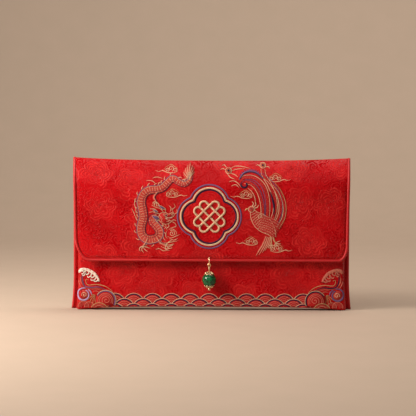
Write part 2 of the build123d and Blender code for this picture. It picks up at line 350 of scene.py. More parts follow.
def cell_polar(finish, place, spacing, spread):
    """Distance and angle from the nearest of many scattered points."""
    inputs = {"Vector": place, "Scale": 1 / spacing, "Randomness": spread}
    cells = finish.node("ShaderNodeTexVoronoi", inputs, voronoi_dimensions="2D")
    from_spot = finish.vector("SUBTRACT", place, cells.outputs["Position"])
    parts = finish.node("ShaderNodeSeparateXYZ", {0: from_spot})
    x, y = parts.outputs[0], parts.outputs[1]
    reach = finish.math("SQRT", finish.plus(finish.times(x, x), finish.times(y, y)))
    return reach, finish.math("ARCTAN2", y, x)


def woven_figure(finish, place):
    """Where flowers of six layered petals show, and where small scrolls show round them.

    place is in millimetres. Noise stirs it, so that no two flowers are alike, and breaks the figure up.
    """
    flower_spacing, flower_r, petal_depth, layer_width = 27.0, 8.5, 3.0, 2.2
    scroll_spacing = 6.5
    broad_stir, fine_stir = (6, 6, 0), (2.2, 2.2, 0)
    broad = finish.noise(place, 0.09, 2.0, "Color")
    fine = finish.noise(place, 0.42, 2.0, "Color")
    stirred = finish.vector("ADD", place, finish.vector("MULTIPLY", broad, broad_stir))
    stirred = finish.vector("ADD", stirred, finish.vector("MULTIPLY", fine, fine_stir))
    reach, angle = cell_polar(finish, stirred, flower_spacing, 0.7)
    petal = finish.math("ABSOLUTE", finish.math("COSINE", finish.times(angle, 3.0)))
    rings = finish.math("SUBTRACT", reach, finish.times(petal, petal_depth))
    layer = finish.math("FRACT", finish.math("DIVIDE", rings, layer_width))
    inside = finish.ramp(rings, flower_r + 0.3, flower_r - 0.3)
    flower = finish.times(finish.ramp(layer, 0.35, 0.75), inside)
    near, turn = cell_polar(finish, stirred, scroll_spacing, 0.9)
    swirl = finish.plus(finish.times(turn, 2.0), finish.times(near, 2.8))
    curl = finish.ramp(finish.math("SINE", swirl), 0.0, 0.5)
    scroll = finish.times(curl, finish.ramp(rings, flower_r - 0.9, flower_r + 1.1))
    breaks = finish.ramp(finish.noise(place, 0.26, 4.0), 0.34, 0.48)
    faint = finish.ramp(finish.noise(place, 0.045, 2.0), 0.35, 0.62, 0.4, 1.0)
    shown = finish.times(breaks, faint)
    return finish.times(flower, shown), finish.times(scroll, shown)


def brocade():
    """Red satin with a matt woven figure: pale flowers among darker scrolls, and painted shade in the gaps
    between the threads.
    """
    dull, bright, coral = (0.44, 0.0015, 0.004, 1), (0.60, 0.003, 0.007, 1), (0.77, 0.043, 0.039, 1)
    # dark colours the scrolls and the grain; the second colour is painted shade for the gaps between the
    # threads
    dark, thread_gap_shade = (0.34, 0.001, 0.003, 1), (0.22, 0.0, 0.001, 1)
    finish = Finish("red_brocade")
    place = finish.cloth_mm()
    flower, scroll = woven_figure(finish, place)
    figure = finish.math("MAXIMUM", flower, scroll)
    weft = finish.wave(place, 1.1, "Y")
    twill = finish.wave(place, 0.9, "DIAGONAL")
    thread = finish.plus(finish.times(weft, 0.6), finish.times(twill, 0.4))
    patch = finish.noise(place, 0.05, 5.0)
    grain = finish.noise(place, 0.9, 3.0)
    ground = finish.mix(finish.ramp(patch, 0.3, 0.7), dull, bright)
    colour = finish.mix(finish.ramp(grain, 0.35, 0.70, 0.0, 0.30), ground, dark)
    colour = finish.mix(finish.times(scroll, 0.5), colour, dark)
    colour = finish.mix(finish.times(flower, 0.65), colour, coral)
    # painted shade: the colour darkens towards near black in the gaps between the threads
    colour = finish.mix(finish.ramp(thread, 0.75, 0.15, 0.0, 0.25), colour, thread_gap_shade)
    low = finish.bump(thread, 0.00006, 0.4)
    raised = finish.bump(figure, 0.00015, 1.0, low)
    return finish.surfaced({
        "Base Color": colour,
        "Roughness": finish.plus(0.29, finish.times(figure, 0.30)),
        "Specular IOR Level": finish.math("SUBTRACT", 0.18, finish.times(figure, 0.17)),
        "Sheen Weight": finish.math("SUBTRACT", 0.09, finish.times(figure, 0.08)),
        "Sheen Roughness": 0.35,
        "Sheen Tint": (1.0, 0.35, 0.32, 1),
        "Normal": raised,
    })


def plain_silk(name, dark, pale, rib_scale):
    """Plain woven silk for the piping, the lining and the base."""
    finish = Finish(name)
    place = finish.cloth_mm()
    rib = finish.wave(place, rib_scale, "DIAGONAL")
    patch = finish.noise(place, 0.12, 4.0)
    shade = finish.plus(finish.times(rib, 0.45), finish.times(patch, 0.55))
    return finish.surfaced({
        "Base Color": finish.mix(shade, dark, pale),
        "Roughness": finish.ramp(patch, 0.3, 0.7, 0.40, 0.55),
        "Specular IOR Level": 0.4,
        "Sheen Weight": 0.06,
        "Sheen Roughness": 0.3,
        "Sheen Tint": (1.0, 0.5, 0.45, 1),
        "Normal": finish.bump(rib, 0.0001, 0.6),
    })


def stitch_thread(name, dark, pale):
    """Satin stitches that run across each line of embroidery."""
    finish = Finish(name)
    place = finish.cloth_mm()
    twist = finish.wave(place, 0.95, "X", 0.6)
    patch = finish.noise(place, 0.35, 3.0)
    shade = finish.plus(finish.times(twist, 0.5), finish.times(patch, 0.5))
    return finish.surfaced({
        "Base Color": finish.mix(shade, dark, pale),
        "Roughness": finish.ramp(twist, 0.0, 1.0, 0.55, 0.38),
        "Specular IOR Level": 0.08,
        "Normal": finish.bump(twist, 0.00012, 0.8),
    })


def mottled(name, grain, dark, pale, rough, metallic=0.0, bump=0.0):
    """A material with fine spots: grain is their scale and detail, rough the range of the roughness."""
    finish = Finish(name)
    spots = finish.noise(finish.own_place(), *grain)
    inputs = {
        "Base Color": finish.mix(spots, dark, pale),
        "Metallic": metallic,
        "Roughness": finish.ramp(spots, 0.3, 0.7, *rough),
    }
    if bump > 0:
        inputs["Normal"] = finish.bump(spots, bump, 0.5)
    return finish.surfaced(inputs)


def jade():
    """Deep green polished stone with paler clouds."""
    deep, pale = (0.0005, 0.018, 0.006, 1), (0.012, 0.175, 0.055, 1)
    finish = Finish("green_stone")
    place = finish.own_place()
    cloudy = finish.noise(place, 420.0, 6.0)
    flecks = finish.node("ShaderNodeTexVoronoi", {"Vector": place, "Scale": 1100.0}).outputs["Distance"]
    shade = finish.plus(finish.times(cloudy, 0.7), finish.times(flecks, 0.35))
    return finish.surfaced({
        "Base Color": finish.mix(finish.ramp(shade, 0.38, 0.74), deep, pale),
        "Roughness": finish.ramp(cloudy, 0.3, 0.7, 0.06, 0.16),
        "Specular IOR Level": 0.35,
        "Coat Weight": 0.15,
        "Coat Roughness": 0.04,
        "Normal": finish.bump(flecks, 0.00006, 0.35),
    })


red_brocade = brocade()
red_piping = plain_silk("red_piping", (0.42, 0.004, 0.008, 1), (0.62, 0.012, 0.014, 1), 0.8)
red_lining = plain_silk("red_lining", (0.30, 0.004, 0.008, 1), (0.50, 0.012, 0.016, 1), 0.6)
green_stone = jade()
# Bright gilt wire, slightly worn
gilt = mottled("gilt", (900.0, 4.0), (0.80, 0.56, 0.26, 1), (1.0, 0.84, 0.56, 1), (0.18, 0.34),
               metallic=1.0, bump=0.00004)
# Stiff fibrous card
grey_card = mottled("grey_card", (700.0, 6.0), (0.34, 0.29, 0.23, 1), (0.52, 0.46, 0.38, 1), (0.75, 0.95),
                    bump=0.0001)
# Finely scratched plating of the magnets
plated_steel = mottled("plated_steel", (2500.0, 5.0), (0.42, 0.42, 0.44, 1), (0.62, 0.62, 0.64, 1),
                       (0.22, 0.38), metallic=1.0)


# Sheets of the envelope

def cover_rows(inset, foot_z, edge_z, reach, soft):
    """Rows of a sheet up the back, over the top and down the flap.

    reach is the sheet's share of the width and soft the share of the panels' relief that it takes.
    """
    shares = np.linspace(-1, 1, 121)
    shares = reach * np.sign(shares) * (1 - (1 - np.abs(shares)) ** 1.25)
    rows = []
    for y, z in profile(inset, foot_z, edge_z):
        if y < nose_y:
            x = shares * flap_half(shares, z)
            up = panel_low + (z - panel_low) * flap_stretch(x)
            deep = y + soft * flap_relief(x, up)
        else:
            x = shares * side(z)
            up = foot(x) + z * (1 + (corner_lift(x) - foot(x)) / crest_z)
            edge = np.minimum(side(z) - np.abs(x), max(nose_z - z, 0))
            deep = y - soft * relief(x, edge) * np.clip((nose_z - z) / seam_run, 0, 1)
        rows.append(np.stack([x, deep, up], axis=1))
    return np.array(rows)


def front_plan():
    """Points round the pocket from the right across the front to the left, with the way out of each."""
    depth = seam_y - front_face
    flat_half = panel_half - pocket_in - front_round
    right = []
    for turn in np.linspace(0, math.pi / 2, 16)[:-1]:
        x = flat_half + front_round * math.cos(turn)
        out = Vector((depth * math.cos(turn), -front_round * math.sin(turn))).normalized()
        right.append((x, seam_y - depth * math.sin(turn), out.x, out.y))
    across = [(x, front_face, 0, -1) for x in np.linspace(flat_half, -flat_half, 90)]
    left = [(-x, y, -out_x, out_y) for x, y, out_x, out_y in reversed(right)]
    return np.array(right + across + left)


def front_rows(inset):
    """Rows of a sheet round the pocket's front and sides, set in from its face, rolled in at its foot."""
    plan = front_plan()
    roll = 0.8 * mm
    turns = np.linspace(0, math.pi / 2, 5)
    levels = [(inset + roll * (1 - math.cos(a)), roll * (1 - math.sin(a))) for a in turns]
    levels += [(z, 0) for z in np.linspace(inset + roll, mouth_z, 44)[1:]]
    rows = []
    for z, turned in levels:
        x = (plan[:, 0] - plan[:, 2] * (inset + turned)) * side(z) / panel_half
        y = plan[:, 1] - plan[:, 3] * (inset + turned)
        up = foot(x) + z * (1 - foot(x) / mouth_z)
        rows.append(np.stack([x, y, up], axis=1))
    return np.array(rows)


def base_rows():
    """Rows of the strip that closes the pocket below, turned up inside at the front and the back."""
    x = np.linspace(-1, 1, 80) * (side(0) - pocket_in - cloth)
    front = front_surface(x, 0) + cloth
    back = back_face - cloth
    turned = 2.4 * mm
    bend = 0.4 * mm
    clear = 0.2 * mm
    section = [(0, turned), (0, bend)]
    section += [(share, 0) for share in np.linspace(0.05, 0.95, 5)]
    section += [(1, bend), (1, turned)]
    return np.array([np.stack([x, front + (back - front) * share, foot(x) + clear + z], axis=1)
                     for share, z in section])


def hem_rows():
    """Rows of the binding folded over the mouth's edge."""
    plan = front_plan()
    spare = 0.15 * mm
    half = (lining_in + lining) / 2 + spare
    leg = 4 * mm
    section = [(-spare, -leg), (-spare, -leg / 2)]
    for turn in np.linspace(0, math.pi, 10):
        section.append((half - spare - half * math.cos(turn), (hem_z - mouth_z) * math.sin(turn)))
    section += [(2 * half - spare, -leg / 2), (2 * half - spare, -leg)]
    return np.array([np.stack([plan[:, 0] - plan[:, 2] * inset, plan[:, 1] - plan[:, 3] * inset,
                               np.full(len(plan), mouth_z + z)], axis=1) for inset, z in section])


def follow_flap(piece):
    """Bake the piece's placement into its mesh."""
    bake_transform(piece)


def cloth_piece(name, rows, finish, thickness, nodes):
    """A sheet of cloth with its flat size, in place of CAD nodes."""
    piece = grid_object(name, rows, finish, thickness)
    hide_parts(*nodes)
    return piece


def sheets():
    """The cover, its lining, the pocket's front and the small strips."""
    back_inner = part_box("back_lining")
    rows = cover_rows(0, 0, panel_low, cover_reach, 1)
    cover = cloth_piece("cover", rows, red_brocade, cloth,
                        ["back_cloth", "fold_cloth", "flap_cloth"])
    rows = cover_rows(lining_in, back_inner[0].z, panel_low, lining_reach, 0)
    inside = cloth_piece("cover_lining", rows, red_lining, lining,
                         ["back_lining", "fold_lining", "flap_lining"])
    for piece in (cover, inside):
        follow_flap(piece)
    front = cloth_piece("pocket_front", front_rows(0), red_brocade, cloth,
                        ["front_cloth", "left_side_band", "right_side_band"])
    lined = cloth_piece("pocket_lining", front_rows(lining_in), red_lining, lining,
                        ["front_lining"])
    base = cloth_piece("pocket_base", base_rows(), red_lining, lining,
                       ["base_band"])
    hem = cloth_piece("mouth_binding", hem_rows(), red_piping, lining,
                      ["mouth_hem"])
    for piece in (front, lined, base, hem):
        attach(piece, "pocket")


# Piping

cord_in = 0.7 * mm          # outside of the cover to the cord's middle
cord_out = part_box("right_piping")[1].x - cord_r - panel_half


def flap_rim(offset):
    """Points (x, z) down the flap's left edge, along its lower edge and up the right, offset outwards."""
    edges = []
    for way in (-1, 1):
        tall = flap_corners[way][1]
        levels = list(np.linspace(lean_z, panel_low + tall, 24)[:-1])
        levels += [panel_low + tall * (1 - math.sin(turn)) for turn in np.linspace(0, math.pi / 2, 20)]
        edges.append([(way * flap_side(z, way), z) for z in levels])
    left, right = edges
    lower = [(x, panel_low) for x in np.linspace(left[-1][0], right[-1][0], 92)[1:-1]]
    return beside(np.array(left + lower + right[::-1]), -offset)


def piping_path():
    """The cord's middle line: up the left of the back, over the top, round the flap and down the right."""
    left = []
    for y, z in profile(cord_in, 0, panel_low):
        if y < nose_y and z <= lean_z:
            break
        half = flap_side(z, 1) if y < nose_y else side(z)
        x = -half - cord_out
        left.append((x, y, z + corner_lift(x) * z / crest_z))
    round_flap = []
    for x, z in flap_rim(cord_out):
        up = panel_low + (z - panel_low) * flap_stretch(x)
        round_flap.append((x, flap_face + cord_in, up))
    return np.array(left + round_flap + [(-x, y, z) for x, y, z in reversed(left)])


def piping():
    """The covered cord that edges the back and the flap."""
    cord = tubes_object("edge_piping", [piping_path()], cord_r, 14, red_piping)
    follow_flap(cord)
    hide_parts("left_piping", "right_piping", "left_fold_piping", "right_fold_piping", "flap_piping")


# Charm

cap_wire = 0.24 * mm        # radius of the caps' wire
cap_edge = 42               # degrees from the bead's end to the edge of a cap
cap_gap = 0.3 * mm          # edge of a cap above the bead
cap_rise = 0.8 * mm         # how much further its end stands off


def on_bead(turn, tilt, lift):
    """A point above the bead's surface: turn goes round it and tilt is the angle from its top."""
    r = bead_high.z - bead_middle.z + lift
    way = Vector((math.sin(tilt) * math.cos(turn), math.sin(tilt) * math.sin(turn), math.cos(tilt)))
    return bead_middle + way * r


def on_cap(turn, degrees):
    """A point on a cap, which stands further off the bead towards its end."""
    return on_bead(turn, math.radians(degrees), cap_gap + cap_rise * (1 - degrees / cap_edge))


def bead_cap(name, node, up):
    """A filigree cap: wire petals round a ring, on the top (1) or the bottom (-1) of the bead."""
    petals, spread = 6, math.radians(27)
    wires = []
    for petal in range(petals):
        middle = 2 * math.pi * petal / petals
        outline = []
        for step in np.linspace(0, 2 * math.pi, 25):
            turn = middle + spread * math.sin(step) * (0.6 + 0.4 * math.sin(step / 2))
            outline.append(on_cap(turn, 26 - 16 * math.cos(step)))
        vein = [on_cap(middle, tilt) for tilt in np.linspace(12, 36, 6)]
        wires += [outline, vein]
    for tilt, count in ((9, 20), (13, 24)):
        wires.append([on_cap(turn, tilt) for turn in np.linspace(0, 2 * math.pi, count)])
    level = bead_middle.z
    paths = [np.array([(p.x, p.y, level + up * (p.z - level)) for p in wire]) for wire in wires]
    cap = tubes_object(name, paths, cap_wire, 8, gilt)
    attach(cap, "bead")
    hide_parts(node)


def wire_wrap():
    """The pin's wire wound round its own stem under the eye."""
    coil_r, wire_r = 0.5 * mm, 0.2 * mm
    turns, pitch = 4.5, 0.45 * mm
    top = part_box("charm_ring")[0].z - 1.0 * mm
    coil = []
    for a in np.linspace(0, 2 * math.pi * turns, 70):
        x = layout_x + coil_r * math.cos(a)
        y = bead_middle.y + coil_r * math.sin(a)
        coil.append((x, y, top - pitch * a / (2 * math.pi)))
    wrap = tubes_object("wire_wrap", [np.array(coil)], wire_r, 8, gilt)
    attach(wrap, "drop")


def inner_parts():
    """The cards and the two magnets between the sheets."""
    for node in ("back_board", "front_board", "flap_board"):
        paint(node, grey_card)
    for node in ("front_magnet", "flap_magnet"):
        paint(node, plated_steel)


def paint(node, finish):
    """Give a CAD node a finish."""
    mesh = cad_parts[node].data
    mesh.materials.clear()
    mesh.materials.append(finish)


def charm():
    """The ring, the pin, the bead and its two caps."""
    for node in ("charm_ring", "head_pin"):
        paint(node, gilt)
    paint("jade_bead", green_stone)
    bead_cap("top_filigree", "top_cap", 1)
    bead_cap("bottom_filigree", "bottom_cap", -1)
    wire_wrap()


# Embroidery

thread_colours = {
    "cream": ((0.60, 0.36, 0.20, 1), (0.86, 0.62, 0.42, 1), "cream_thread"),
    "white": ((0.80, 0.62, 0.50, 1), (0.95, 0.86, 0.75, 1), "cream_thread"),
    "tan": ((0.50, 0.24, 0.10, 1), (0.74, 0.44, 0.22, 1), "cream_thread"),
    "rose": ((0.39, 0.008, 0.010, 1), (0.56, 0.026, 0.024, 1), "salmon_thread"),
    "coral": ((0.45, 0.027, 0.023, 1), (0.65, 0.088, 0.064, 1), "salmon_thread"),
    "salmon": ((0.48, 0.045, 0.034, 1), (0.66, 0.11, 0.08, 1), "salmon_thread"),
    "blush": ((0.56, 0.13, 0.09, 1), (0.76, 0.26, 0.18, 1), "salmon_thread"),
    "lilac": ((0.34, 0.21, 0.38, 1), (0.60, 0.44, 0.66, 1), "violet_thread"),
    "violet": ((0.10, 0.045, 0.12, 1), (0.24, 0.14, 0.28, 1), "violet_thread"),
    "navy": ((0.012, 0.006, 0.022, 1), (0.050, 0.028, 0.075, 1), "violet_thread"),
    "red": ((0.34, 0.004, 0.008, 1), (0.60, 0.03, 0.03, 1), "seam_thread"),
}
threads = {}
for thread_name, (dark_side, pale_side, thread_slot) in thread_colours.items():
    threads[thread_name] = (stitch_thread(f"{thread_name}_thread", dark_side, pale_side), thread_slot)


def smooth(points, step=0.6):
    """A smooth line through points."""
    given = np.asarray(points, dtype=float)
    spread = np.vstack([2 * given[0] - given[1], given, 2 * given[-1] - given[-2]])
    line = []
    for a, b, c, d in zip(spread, spread[1:], spread[2:], spread[3:]):
        count = max(2, int(np.linalg.norm(c - b) / step))
        for t in np.arange(count) / count:
            line.append(b + 0.5 * t * (c - a + t * (2 * a - 5 * b + 4 * c - d + t * (3 * (b - c) + d - a))))
    return np.array(line + [given[-1]])


def arc(x, z, r, start, end, step=0.5):
    """Points of a circle between two angles in degrees."""
    count = max(4, int(abs(math.radians(end - start)) * r / step))
    turns = np.radians(np.linspace(start, end, count))
    return np.stack([x + r * np.cos(turns), z + r * np.sin(turns)], axis=1)


def spiral(x, z, start_r, end_r, start, end):
    """Points of a spiral between two angles in degrees."""
    turns = np.radians(np.linspace(start, end, int(abs(end - start) / 9)))
    r = np.linspace(start_r, end_r, len(turns))
    return np.stack([x + r * np.cos(turns), z + r * np.sin(turns)], axis=1)


def bowed(root, tip, bow):
    """A line from root to tip with its middle moved by bow."""
    root, tip = np.array(root), np.array(tip)
    return smooth([root, 0.5 * (root + tip) + bow, tip])


def lefts(path):
    """Unit vectors to the left of a path."""
    way = directions(path)
    return np.stack([-way[:, 1], way[:, 0]], axis=1)


def beside(path, distance):
    """A line at a distance to the left of a path."""
    return path + lefts(path) * np.reshape(distance, (-1, 1))


class Embroidery:
    """Stitched lines and patches on one surface. Points are (x, z) in millimetres in front view."""

    def __init__(self, surface):
        self.surface = surface
        self.parts = {}

    def add(self, colour, flat, lift, faces, uvs):
        """Lay flat points on the surface, lift them off it by millimetres and keep their faces."""
        x, z = flat[:, 0] * mm, flat[:, 1] * mm
        step = 0.3 * mm
        slope_x = (self.surface(x + step, z) - self.surface(x - step, z)) / (2 * step)
        slope_z = (self.surface(x, z + step) - self.surface(x, z - step)) / (2 * step)
        out = np.stack([slope_x, -np.ones_like(x), slope_z], axis=1)
        out /= np.linalg.norm(out, axis=1)[:, None]
        laid = np.stack([x, self.surface(x, z), z], axis=1) + out * np.reshape(lift, (-1, 1)) * mm
        points, all_faces, all_uvs = self.parts.setdefault(colour, ([], [], []))
        first = len(points)
        points.extend(laid)
        all_faces.extend(tuple(first + corner for corner in face) for face in faces)
        all_uvs.extend(np.asarray(uvs) * mm)

    def line(self, colour, path, width, lift=0.0, height=0.22, taper=(1.0, 1.0), across=2):
        """A raised line; width and lift may vary along it, taper is the share of the width at its ends."""
        path = np.asarray(path, dtype=float)
        count = len(path)
        run = lengths_along(path)
        share = run / run[-1]
        taper_run = 0.35
        start = taper[0] + (1 - taper[0]) * share / taper_run
        end = taper[1] + (1 - taper[1]) * (1 - share) / taper_run
        widths = width * np.minimum(np.minimum(start, end), 1)
        spots = np.concatenate([[-0.5], 1.2 * np.linspace(-0.5, 0.5, across + 2)[1:-1], [0.5]])
        rises = np.array([0.0] + [height] * across + [0.0])
        columns = across + 2
        flat = np.stack([beside(path, widths * spot) for spot in spots], axis=1)
        lifts = np.reshape(np.ones(count) * lift, (-1, 1)) + rises
        uvs = [(along, wide * spot) for along, wide in zip(run, widths) for spot in spots]
        faces = []
        for row in range(count - 1):
            for column in range(columns):
                a = row * columns + column
                b = row * columns + (column + 1) % columns
                faces.append((a, b, b + columns, a + columns))
        faces.append(tuple(range(columns - 1, -1, -1)))
        faces.append(tuple(range((count - 1) * columns, count * columns)))
        self.add(colour, flat.reshape(-1, 2), lifts.reshape(-1), faces, uvs)

    def patch(self, colour, outline, lift=0.0, height=0.2):
        """A flat patch inside an outline."""
        outline = np.asarray(outline, dtype=float)
        count = len(outline)
        flat = np.vstack([outline, outline])
        lifts = np.repeat([lift, lift + height], count)
        faces = [(n, (n + 1) % count, (n + 1) % count + count, n + count) for n in range(count)]
        faces.append(tuple(range(count, 2 * count)))
        faces.append(tuple(range(count - 1, -1, -1)))
        self.add(colour, flat, lifts, faces, flat)

    def finish(self, name, node, place):
        """One piece for each colour of thread, in place of a CAD node."""
        for colour, (points, faces, uvs) in self.parts.items():
            material, slot = threads[colour]
            piece = mesh_object(f"{name}_{colour}", points, faces, material, uvs)
            place(piece)
            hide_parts(node)


def on_pocket(piece):
    """The piece stays on the pocket."""
    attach(piece, "pocket")


def leaf(tip, tail, width):
    """Outline of a pointed leaf between two points."""
    tip, tail = np.array(tip, dtype=float), np.array(tail, dtype=float)
    way = (tip - tail) / np.linalg.norm(tip - tail)
    left = np.array([-way[1], way[0]]) * width / 2
    shares = np.linspace(0, 1, 9)
    upper = [tail + (tip - tail) * s + left * math.sin(math.pi * s ** 0.8) for s in shares]
    lower = [tail + (tip - tail) * s - left * math.sin(math.pi * s ** 0.8) for s in shares[-2:0:-1]]
    return np.array(upper + lower)


# Medallion

medallion_low, medallion_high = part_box("medallion_outline")
medallion_x = (medallion_low.x + medallion_high.x) / 2 / mm
medallion_z = (medallion_low.z + medallion_high.z) / 2 / mm
medallion_half = (medallion_high.x - medallion_low.x) / 2 / mm
lobe_offset = 8.1           # medallion's middle to the middle of each lobe
lobe_r = medallion_half - lobe_offset
outline_in, rim_in, shadow_in = 0.55, 2.7, 4.0      # medallion's edge to the middle of its three lines; the inner dark line is partly painted shadow of the cord
knot_pitch, knot_stroke = 5.4, 1.45


def quatrefoil(inset):
    """The four lobes of the medallion's edge, drawn in by inset; each is one line."""
    r = lobe_r - inset
    corner = (lobe_offset + math.sqrt(2 * r ** 2 - lobe_offset ** 2)) / 2
    reach = math.degrees(math.atan2(corner, corner - lobe_offset))
    lobes = []
    for quarter in range(4):
        turn = math.radians(90 * quarter)
        middle = (medallion_x + lobe_offset * math.cos(turn), medallion_z + lobe_offset * math.sin(turn))
        lobes.append(arc(*middle, r, 90 * quarter - reach, 90 * quarter + reach))
    return lobes


def endless_knot(work, pitch, stroke):
    """Three strands each way that pass over and under each other, joined by loops."""
    rise, height = 0.30, 0.35
    reach = 1.5 * pitch
    run = np.linspace(-reach, reach, 25)
    turn = math.radians(45)
    spin = np.array([[math.cos(turn), -math.sin(turn)], [math.sin(turn), math.cos(turn)]])
    middle = np.array((medallion_x, medallion_z))
    for step in (-1, 0, 1):
        level = np.full_like(run, step * pitch)
        over = rise * (1 + np.cos(math.pi * (run / pitch + step)))
        under = rise * (1 - np.cos(math.pi * (run / pitch + step)))
        for strand, lift in (((run, level), over), ((level, run), under)):
            turned = np.stack(strand, axis=1) @ spin.T + middle
            work.line("cream", turned, stroke, lift, height, across=3)
    for quarter in range(4):
        for half in (-0.5, 0.5):
            loop = arc(reach, half * pitch, pitch / 2, -90, 90)
            quarter_turn = math.radians(90 * quarter)
            c, s = math.cos(quarter_turn), math.sin(quarter_turn)
            turned = loop @ np.array([[c, s], [-s, c]]) @ spin.T + middle
            work.line("cream", turned, stroke, 0.28, height, across=3)


def medallion():
    """Two dark outlines with the raised cord between them, and the knot; the inner navy line is partly dark
    thread and partly painted shadow of the cord.
    """
    outline = Embroidery(flap_surface)
    rim = Embroidery(flap_surface)
    for lobe in quatrefoil(outline_in):
        outline.line("violet", lobe, 1.1, height=0.3, across=3)
    for lobe in quatrefoil(rim_in):
        rim.line("cream", lobe, 1.25, height=0.45, across=4)
    # the navy line inside the cord is partly dark thread and partly painted shadow of the raised cord
    for lobe in quatrefoil(shadow_in):
        rim.line("navy", lobe, 1.1, height=0.2)
    outline.finish("medallion_outline", "medallion_outline", follow_flap)
    rim.finish("medallion_rim", "medallion_rim", follow_flap)
    knot = Embroidery(flap_surface)
    endless_knot(knot, knot_pitch, knot_stroke)
    knot.finish("medallion_knot", "medallion_knot", follow_flap)


# Wave border

border_pitch = 12.9
border_rows = ((11.7, 0.0), (8.2, 0.5), (4.8, 0.0))     # height of the tops, shift in pitches
scale_r = 7.5
side_scales = 5             # scales on each side of the middle one
scale_lines = [(7.2, "cream", 0.42), (6.45, "navy", 0.85)]      # radius, thread and width
scale_lines += [(r, "blush", 0.34) for r in (5.2, 3.9, 2.6, 1.3)]


def clipped_arc(x, z, r, low):
    """The part of a circle above a height."""
    rise = (low - z) / r
    if rise > 0.97:
        return None
    start = math.degrees(math.asin(max(rise, -0.6)))
    return arc(x, z, r, start, 180 - start)


def wave_border():
    """Three rows of scales; each row lies over the one above it."""
    work = Embroidery(front_surface)
    for row, (top, shift) in enumerate(border_rows):
        lift = 0.16 * row
        steps = range(-side_scales, side_scales + 1 if shift == 0 else side_scales)
        for step in steps:
            x = layout_x / mm + (step + shift) * border_pitch
            z = top - scale_r
            low = max(foot(np.array(x * mm)) / mm + 0.6, z)
            work.patch("rose", clipped_arc(x, z, scale_r, low), lift, 0.1)
            for r, colour, width in scale_lines:
                ring = clipped_arc(x, z, r, low)
                if ring is not None:
                    work.line(colour, ring, width, lift + 0.08, 0.14)
    work.finish("wave_border", "wave_border", on_pocket)


# Corner waves

def foam(work, place, colour):
    """A crest of foam, parted into puffs, that hangs over in hooked fingers."""
    crest = smooth([(-90.8, 25.4), (-90.2, 27.4), (-88.2, 28.3), (-85.6, 28.0),
                    (-82.4, 26.8), (-79.6, 24.8), (-77.4, 22.0), (-76.5, 19.6)], 0.7)
    work.line(colour, place(beside(crest, -0.4)), 2.2, 0.1, 0.3, (0.7, 0.5), across=4)
    ways, inwards = directions(crest), -lefts(crest)
    for n in range(1, len(crest) - 1, 3):
        root, way, inward = crest[n], ways[n], inwards[n]
        reach = 3.6 + 1.3 * (n % 2)
        knuckle = root + 0.6 * reach * inward + 0.9 * way
        tip = root + reach * inward
        finger = smooth([root, knuckle, tip, tip - way - 0.4 * inward], 0.4)
        work.line(colour, place(finger), 0.9, 0.08, 0.34, (1.0, 0.8), across=3)
        parting = smooth([root - 0.7 * inward, root + 0.6 * inward + 0.5 * way], 0.4)
        work.line("salmon", place(parting + 0.9 * way), 0.3, 0.34, 0.14, (0.5, 0.5))


def corner_swell(work, place, ink):
    """The round swell at the end of the wave, laid over the border, with a curl of water inside."""
    x, z = -72.3, 6.4
    work.patch("rose", place(clipped_arc(x, z, 7.0, 2.8)), 0.55, 0.12)
    work.line("cream", place(arc(x, z, 7.1, -28, 146)), 0.42, 0.66, 0.16)
    work.line(ink, place(arc(x, z, 6.45, -28, 152)), 0.9, 0.66, 0.2, (1.0, 0.6))
    for r, start, end in ((5.1, -24, 200), (4.1, -24, 205)):
        work.line("blush", place(arc(x - 0.2, z - 0.2, r, start, end)), 0.34, 0.64, 0.16)
    work.line("blush", place(spiral(x + 0.4, z + 0.2, 3.0, 0.4, 210, -330)), 0.42, 0.64, 0.18)


def water_lines(work, place):
    """Strands of water under the crest and low waves in the corner."""
    for colour, width, points in (
        ("tan", 0.55, [(-84.2, 20.4), (-85.6, 21.0), (-86.0, 19.2), (-84.2, 17.0),
                       (-78.8, 17.4), (-73.8, 16.5), (-70.2, 14.7), (-67.6, 12.4)]),
        ("blush", 0.5, [(-90.9, 20.2), (-90.2, 17.4), (-88.8, 15.2)]),
        ("blush", 0.5, [(-89.6, 22.4), (-89.4, 19.4), (-88.0, 16.8)]),
        ("salmon", 0.8, [(-82.0, 13.9), (-78.2, 14.2), (-75.0, 13.2)]),
        ("blush", 0.4, [(-81.2, 12.6), (-78.4, 12.8), (-76.4, 11.8)]),
    ):
        work.line(colour, place(smooth(points)), width, 0.1, 0.2, (0.5, 0.5))
    for tip in ((-84.6, 6.8), (-83.4, 4.6), (-81.2, 3.6), (-79.0, 3.8), (-82.2, 9.8)):
        work.line("tan", place(bowed((-79.6, 10.2), tip, (-0.5, 0.4))), 0.36, 0.1, 0.2, (0.3, 0.5))
    for x, radii in ((-83.6, (3.2, 2.4, 1.6)), (-87.6, (3.6, 2.8, 2.0, 1.2))):
        for r in radii:
            colour = "blush" if r == radii[0] else "salmon"
            work.line(colour, place(clipped_arc(x, 2.2, r, 1.5)), 0.46, 0.06, 0.18)
    for r, colour in ((6.2, "tan"), (5.2, "salmon"), (4.3, "blush")):
        work.line(colour, place(clipped_arc(-76.8, -1.4, r, 1.6)), 0.55, 0.72, 0.18)


